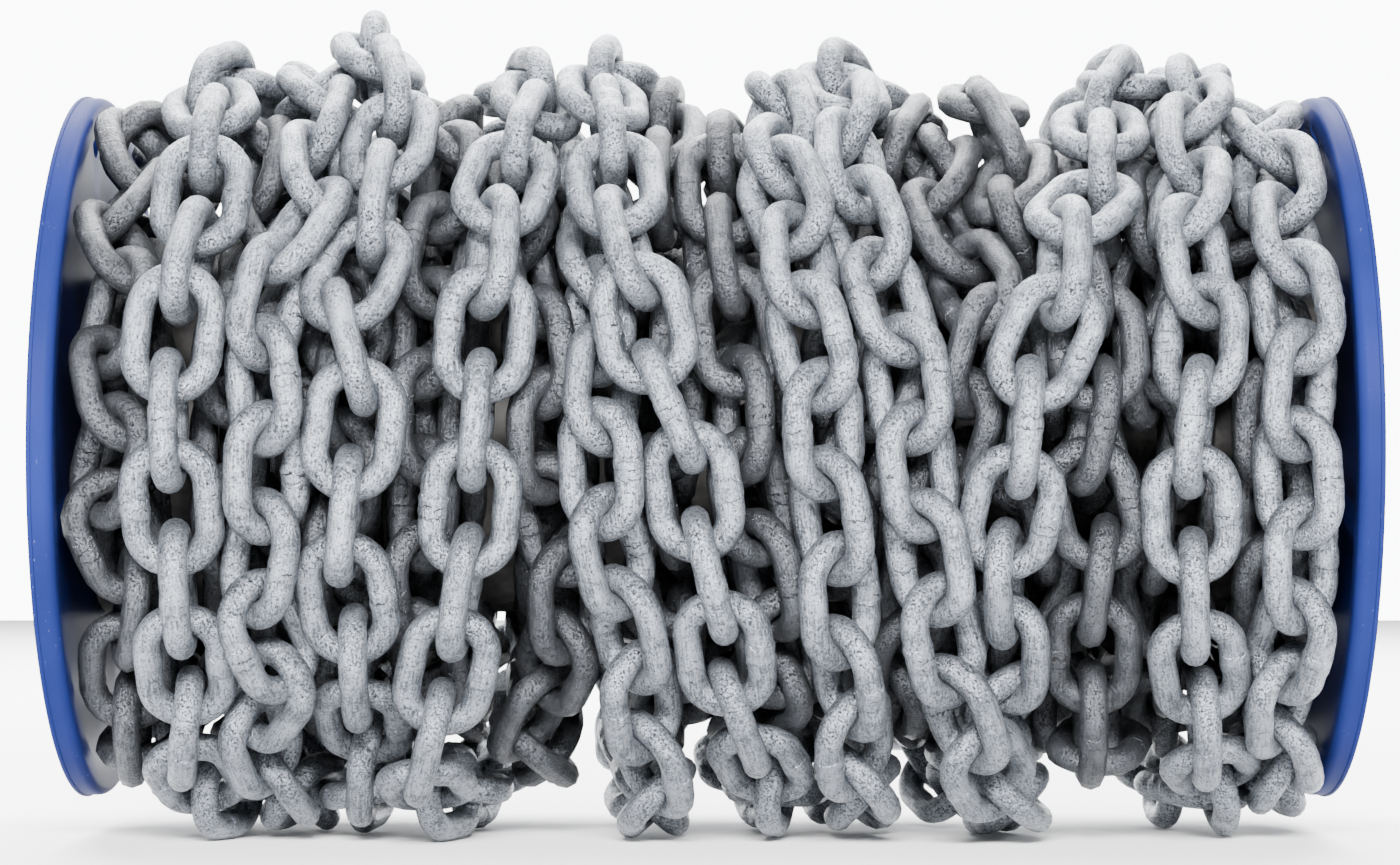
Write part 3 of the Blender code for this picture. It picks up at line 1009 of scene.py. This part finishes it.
def unevenness(tree, given):
    """How far a point of the wire is moved outwards: lumps round the weld, and dents all over."""
    lumpy = (0.0060, 0.0035)
    at_weld = on_weld(tree, kept_vector(tree, "spot"), lumpy)
    place = add_node(tree, "GeometryNodeInputPosition").outputs[0]
    lumps = product(tree, centred(tree, noise(tree, place, *WELD_LUMPS)), at_weld, given["Weld lumps"])
    dents = product(tree, centred(tree, noise(tree, place, *WIRE_DENTS)), given["Dents"])
    normal = add_node(tree, "GeometryNodeInputNormal").outputs[0]
    return add_node(tree, "ShaderNodeVectorMath", {0: normal, "Scale": maths(tree, "ADD", lumps, dents)},
                    operation="SCALE").outputs[0]


def shared_link_tree(sizes):
    found = bpy.data.node_groups.get("Short links on points")
    return found or link_tree(sizes)


def keep_on_mesh(mesh, name, kind, values):
    """Stores values on a mesh's vertices."""
    attribute = mesh.attributes.new(name, kind, "POINT")
    field = "vector" if kind == "FLOAT_VECTOR" else "value"
    attribute.data.foreach_set(field, np.asarray(values, np.float32).ravel())


def set_inputs(modifier, values):
    """Sets a modifier's inputs by their names, through the sockets' identifiers."""
    for item in modifier.node_group.interface.items_tree:
        if item.item_type == "SOCKET" and item.in_out == "INPUT" and item.name in values:
            modifier[item.identifier] = values[item.name]


def plain_copy(name, thing):
    """A plain mesh object of what a modified object evaluates to. The object itself is removed."""
    graph = bpy.context.evaluated_depsgraph_get()
    mesh = bpy.data.meshes.new_from_object(thing.evaluated_get(graph), depsgraph=graph)
    mesh.name = name
    old = thing.data
    bpy.data.objects.remove(thing)
    bpy.data.meshes.remove(old)
    piece = bpy.data.objects.new(name, mesh)
    bpy.context.scene.collection.objects.link(piece)
    return piece


def chain_piece(name, picked, tones_and_shade, rings, sides, material, sizes):
    """The picked links of the settled chain as one piece."""
    laid = laid_chain()
    rng = np.random.default_rng(sum(map(ord, name)))
    number = len(picked)
    mesh = bpy.data.meshes.new(f"{name}_points")
    mesh.from_pydata([tuple(p) for p in laid["centre"][picked]], [], [])
    flip_along = rng.choice((-1.0, 1.0), number)[:, None]
    flip_wide = rng.choice((-1.0, 1.0), number)[:, None]
    keep_on_mesh(mesh, "along", "FLOAT_VECTOR", laid["along"][picked] * flip_along)
    keep_on_mesh(mesh, "wide", "FLOAT_VECTOR", laid["wide"][picked] * flip_wide)
    # Each link's tone: random, and for the inner and deep layers darker as painted shade
    keep_on_mesh(mesh, "tone_and_shade", "FLOAT", rng.uniform(tones_and_shade[0], tones_and_shade[1], number))
    keep_on_mesh(mesh, "seed", "FLOAT", rng.uniform(0, 1, number))
    carrier = bpy.data.objects.new(f"{name}_points", mesh)
    bpy.context.scene.collection.objects.link(carrier)
    modifier = carrier.modifiers.new("Links", "NODES")
    modifier.node_group = shared_link_tree(sizes)
    set_inputs(modifier, {**link_sizes(sizes), "Rings": rings, "Sides": sides, "Material": material})
    return plain_copy(name, carrier)


def finish_piece(piece, slot, *replaced):
    """Hands a piece to the frame."""
    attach(piece, "root")
    if replaced:
        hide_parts(*replaced)


# Turned pieces


def turned_mesh(name, profile, steps):
    """A closed ring turned round the reel's axis from (along, radius) points."""
    mesh = bpy.data.meshes.new(name)
    form = bmesh.new()
    rings = []
    for k in range(steps):
        angle = 2 * math.pi * k / steps
        ring = [
            form.verts.new((x, -radius * math.cos(angle), AXIS_HEIGHT + radius * math.sin(angle)))
            for x, radius in profile
        ]
        rings.append(ring)
    number = len(profile)
    for k in range(steps):
        here, there = rings[k], rings[(k + 1) % steps]
        for i in range(number):
            j = (i + 1) % number
            form.faces.new((here[i], here[j], there[j], there[i]))
    bmesh.ops.recalc_face_normals(form, faces=form.faces)
    form.to_mesh(mesh)
    form.free()
    mesh.shade_smooth()
    mesh.set_sharp_from_angle(angle=SHARP_EDGE)
    return mesh


def arc(centre, size, first, last, points):
    """Points of an arc in (along, radius), angles in degrees."""
    found = []
    for k in range(points):
        angle = math.radians(first + (last - first) * k / (points - 1))
        found.append((centre[0] + size * math.cos(angle), centre[1] + size * math.sin(angle)))
    return found


def flange_outline(sizes, side):
    """The pressed disc's section: flat face, step, rounded corner, lip and folded hem."""
    rim = sizes.diameter / 2
    lip_end = REEL_WIDTH / 2
    sheet = sizes.sheet
    corner, edge, hem_root = 0.0035, 0.0005, 0.0004
    slope_foot, slope_middle, half_step = 0.0040, 0.0020, 0.0010
    inner_shift, inner_foot = 0.0010, 0.0030
    step_radius = rim - 0.0100
    bore = sizes.shaft_hole / 2
    hem_start = lip_end - sizes.hem_width
    hem_high = rim + 0.0006
    hem_low = rim - 0.0028
    outline = [
        (FLANGE_FACE, bore),
        (FLANGE_FACE, step_radius - slope_foot),
        (FLANGE_FACE - half_step, step_radius - slope_middle),
        (FLANGE_STEP, step_radius),
        *arc((FLANGE_STEP + corner, rim - corner), corner, 180, 90, 9),
        (hem_start - hem_root, rim),
        (hem_start, hem_high - edge),
        *arc((hem_start + edge, hem_high - edge), edge, 180, 90, 3)[1:],
        *arc((lip_end - edge, hem_high - edge), edge, 90, 0, 4),
        *arc((lip_end - edge, hem_low + edge), edge, 0, -90, 4),
        (hem_start, hem_low),
        (hem_start, rim - sheet),
        *arc((FLANGE_STEP + corner, rim - corner), corner - sheet, 90, 180, 6),
        (FLANGE_STEP + sheet, step_radius + inner_shift),
        (FLANGE_FACE + sheet, step_radius - inner_foot),
        (FLANGE_FACE + sheet, bore),
    ]
    return [(side * x, radius) for x, radius in outline]


def rim_hole_cutter(sizes, side):
    """Four round bars where the small holes go."""
    form = bmesh.new()
    radius = sizes.rim_hole / 2
    for degrees in RIM_HOLE_ANGLES:
        angle = math.radians(degrees)
        high = AXIS_HEIGHT + RIM_HOLE_REACH * math.sin(angle)
        spot = Vector((side * FLANGE_FACE, -RIM_HOLE_REACH * math.cos(angle), high))
        lay = Matrix.Translation(spot) @ Matrix.Rotation(math.pi / 2, 4, "Y")
        bmesh.ops.create_cone(form, cap_ends=True, segments=CUTTER_SIDES, radius1=radius, radius2=radius,
                              depth=CUTTER_LENGTH, matrix=lay)
    mesh = bpy.data.meshes.new("rim_holes")
    form.to_mesh(mesh)
    form.free()
    cutter = bpy.data.objects.new("rim_holes", mesh)
    bpy.context.scene.collection.objects.link(cutter)
    return cutter


def make_flange(name, side, sizes, material):
    """One pressed flange with its rim holes."""
    blank = bpy.data.objects.new(f"{name}_blank", turned_mesh(name, flange_outline(sizes, side), sizes.steps))
    bpy.context.scene.collection.objects.link(blank)
    cutter = rim_hole_cutter(sizes, side)
    cut = blank.modifiers.new("Rim holes", "BOOLEAN")
    cut.operation = "DIFFERENCE"
    cut.object = cutter
    cut.solver = "EXACT"
    piece = plain_copy(name, blank)
    bpy.data.objects.remove(cutter)
    piece.data.materials.clear()
    piece.data.materials.append(material)
    piece.data.set_sharp_from_angle(angle=SHARP_EDGE)
    return piece


# Studio


def make_camera():
    data = bpy.data.cameras.new("photo_camera")
    data.sensor_fit = "HORIZONTAL"
    data.sensor_width = SENSOR_WIDTH
    data.lens = FOCAL_PIXELS / PHOTO_WIDTH * SENSOR_WIDTH
    data.clip_start = CLIP_START
    data.clip_end = CLIP_END
    camera = bpy.data.objects.new("photo_camera", data)
    bpy.context.scene.collection.objects.link(camera)
    axes = Matrix((CAMERA_RIGHT, CAMERA_UP, -CAMERA_FORWARD)).transposed()
    camera.rotation_mode = "QUATERNION"
    camera.rotation_quaternion = axes.to_quaternion()
    camera.location = Vector(CAMERA_PLACE) + Vector((0, 0, AXIS_HEIGHT))
    bpy.context.scene.camera = camera


def soft_box(name, place, aimed_at, size, power):
    """A rectangular light that faces a point."""
    data = bpy.data.lights.new(name, "AREA")
    data.shape = "RECTANGLE"
    data.size, data.size_y = size
    data.energy = power
    light = bpy.data.objects.new(name, data)
    bpy.context.scene.collection.objects.link(light)
    light.location = place
    aim = Vector(aimed_at) - Vector(place)
    light.rotation_mode = "QUATERNION"
    light.rotation_quaternion = aim.to_track_quat("-Z", "Y")


def make_floor(material):
    mesh = bpy.data.meshes.new("floor")
    corners = ((-1, -1), (1, -1), (1, 1), (-1, 1))
    mesh.from_pydata([(x * FLOOR_REACH, y * FLOOR_REACH, 0) for x, y in corners], [], [(0, 1, 2, 3)])
    mesh.materials.append(material)
    floor = bpy.data.objects.new("floor", mesh)
    bpy.context.scene.collection.objects.link(floor)
    floor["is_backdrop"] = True


def make_world():
    """A soft grey room with a white, lit backdrop far behind the reel."""
    world = bpy.data.worlds.new("studio")
    world.use_nodes = True
    tree = world.node_tree
    direction = add_node(tree, "ShaderNodeTexCoord").outputs["Generated"]
    behind = add_node(tree, "ShaderNodeVectorMath", {0: direction, 1: BEHIND}, operation="DOT_PRODUCT")
    lit = spread(tree, behind.outputs["Value"], math.cos(BACKDROP_EDGE), math.cos(BACKDROP_LIT))
    strength = maths(tree, "ADD", ROOM_LIGHT, product(tree, lit, BACKDROP_LIGHT - ROOM_LIGHT))
    background = tree.nodes["Background"]
    background.inputs["Color"].default_value = opaque(ROOM_TINT)
    tree.links.new(strength, background.inputs["Strength"])
    bpy.context.scene.world = world


# Operators


class CHAINREEL_OT_outer_turns(bpy.types.Operator):
    """Make the outer turns of chain, one piece for each turn"""

    bl_idname = "chainreel.outer_turns"
    bl_label = "Outer turns"

    def execute(self, context):
        sizes = context.scene.chain_sizes
        colours = context.scene.reel_finishes
        zinc = zinc_material("hot_dip_zinc", colours.zinc, colours.dull_zinc, *OUTER_GRIME)
        names = laid_chain()["names"]
        for name in OUTER_TURNS:
            picked = np.nonzero(names == name)[0]
            piece = chain_piece(f"{name}_links", picked, OUTER_TONES, sizes.outer_rings, sizes.outer_sides,
                                zinc, sizes)
            finish_piece(piece, "galvanised_steel", name)
        return {"FINISHED"}


class CHAINREEL_OT_inner_turns(bpy.types.Operator):
    """Make the turns below the outer ones, the deepest turns and the near-black core of painted shadow"""

    bl_idname = "chainreel.inner_turns"
    bl_label = "Inner turns"

    def execute(self, context):
        sizes = context.scene.chain_sizes
        colours = context.scene.reel_finishes
        # Inner zinc: the outer colours darkened and a larger grime share, painted shade of the deeper layers
        shaded = tuple(c * f for c, f in zip(colours.zinc, INNER_SHADE_ON_CLEAN))
        dull = tuple(c * f for c, f in zip(colours.dull_zinc, INNER_SHADE_ON_DULL))
        zinc = zinc_material("shaded_zinc", shaded, dull, *INNER_GRIME_AND_SHADE)
        names = laid_chain()["names"]
        inner = sorted(name for name in set(names) if name.startswith("inner_turn"))
        # The deeper layers get darker tones: painted shade
        layers = [(name, INNER_SHADED_TONES, sizes.inner_rings, sizes.inner_sides) for name in inner]
        layers.append(("deep_turns", DEEP_SHADED_TONES, sizes.deep_rings, sizes.deep_sides))
        for name, tones_and_shade, rings, sides in layers:
            picked = np.nonzero(names == name)[0]
            piece = chain_piece(name, picked, tones_and_shade, rings, sides, zinc, sizes)
            finish_piece(piece, "galvanised_steel", "chain_inner_layers")
        half = FLANGE_FACE - FACE_GAP
        inside = TUBE_RADIUS + TUBE_GAP
        profile = [(-half, inside), (-half, CORE_RADIUS), (half, CORE_RADIUS), (half, inside)]
        # A near-black turned core stands for the deep chain in shade: painted shadow
        core = bpy.data.objects.new("shadow_core", turned_mesh("shadow_core", profile, CORE_STEPS))
        bpy.context.scene.collection.objects.link(core)
        core.data.materials.append(shadow_material("deep_shadow"))
        finish_piece(core, "galvanised_steel", "chain_inner_layers")
        return {"FINISHED"}


class CHAINREEL_OT_flanges(bpy.types.Operator):
    """Make the two blue pressed flanges"""

    bl_idname = "chainreel.flanges"
    bl_label = "Flanges"

    def execute(self, context):
        sizes = context.scene.flange_sizes
        paint = paint_material("blue_gloss_paint", context.scene.reel_finishes.paint)
        for name, side in (("flange_left", -1), ("flange_right", 1)):
            piece = make_flange(f"{name}_pressed", side, sizes, paint)
            finish_piece(piece, "blue_paint", name)
        return {"FINISHED"}


class CHAINREEL_OT_drum_tube(bpy.types.Operator):
    """Give the drum tube its bare steel"""

    bl_idname = "chainreel.drum_tube"
    bl_label = "Drum tube"

    def execute(self, context):
        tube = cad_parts["drum_tube"]
        steel = steel_material("drawn_steel")
        for slot in tube.material_slots:
            slot.material = steel
        return {"FINISHED"}


class CHAINREEL_OT_stage(bpy.types.Operator):
    """Make the floor, the lights and the camera"""

    bl_idname = "chainreel.stage"
    bl_label = "Stage"

    def execute(self, context):
        make_floor(floor_material("pale_floor", context.scene.reel_finishes.floor))
        make_world()
        for name, settings in SOFT_BOXES.items():
            soft_box(name, *settings)
        make_camera()
        return {"FINISHED"}


class CHAINREEL_PT_panel(bpy.types.Panel):
    """Lists the steps and the sizes"""

    bl_idname = "CHAINREEL_PT_panel"
    bl_label = "Chain Reel"
    bl_space_type = "VIEW_3D"
    bl_region_type = "UI"
    bl_category = "Chain Reel"

    def draw(self, context):
        layout = self.layout
        for operator in OPERATORS:
            layout.operator(operator.bl_idname)
        for name, group in PROPERTY_GROUPS.items():
            box = layout.box()
            for field in group.__annotations__:
                box.prop(getattr(context.scene, name), field)


OPERATORS = (
    CHAINREEL_OT_outer_turns,
    CHAINREEL_OT_inner_turns,
    CHAINREEL_OT_flanges,
    CHAINREEL_OT_drum_tube,
    CHAINREEL_OT_stage,
)
PROPERTY_GROUPS = {
    "chain_sizes": ChainSizes,
    "flange_sizes": FlangeSizes,
    "reel_finishes": Finishes,
}


def register():
    for group in PROPERTY_GROUPS.values():
        bpy.utils.register_class(group)
    for name, group in PROPERTY_GROUPS.items():
        setattr(bpy.types.Scene, name, PointerProperty(type=group))
    for item in (*OPERATORS, CHAINREEL_PT_panel):
        bpy.utils.register_class(item)


def unregister():
    for item in (CHAINREEL_PT_panel, *reversed(OPERATORS)):
        bpy.utils.unregister_class(item)
    for name in PROPERTY_GROUPS:
        delattr(bpy.types.Scene, name)
    for group in reversed(PROPERTY_GROUPS.values()):
        bpy.utils.unregister_class(group)


def main():
    register()
    bpy.ops.chainreel.outer_turns()
    bpy.ops.chainreel.inner_turns()
    bpy.ops.chainreel.flanges()
    bpy.ops.chainreel.drum_tube()
    bpy.ops.chainreel.stage()


if __name__ == "__main__":
    main()
